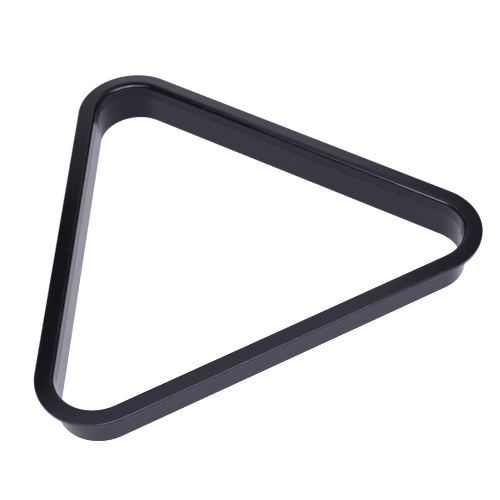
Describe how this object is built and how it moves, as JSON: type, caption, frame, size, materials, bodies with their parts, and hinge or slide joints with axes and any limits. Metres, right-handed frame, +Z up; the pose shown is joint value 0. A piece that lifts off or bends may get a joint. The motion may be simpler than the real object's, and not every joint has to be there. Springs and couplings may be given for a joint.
{
  "type": "triangle rack",
  "caption": "Rounded triangular rack for racking pool balls: an upright wall with a flange turned outward along its top edge, open above and below.",
  "frame": {"origin": "middle of the bounding box at the foot, on the table; the middle of the triangle itself is 34.5 mm along -Y from it", "axes": "+Z up, out of the table; the front rail runs along X; +Y points to the apex corner, where the first ball goes"},
  "size_m": [0.3182, 0.286, 0.032],
  "materials": {
    "black_plastic": "black, satin gloss, straight from the mould, with fine handling marks"
  },
  "bodies": {
    "root": {"rack_frame": "black_plastic"}
  },
  "joints": []
}
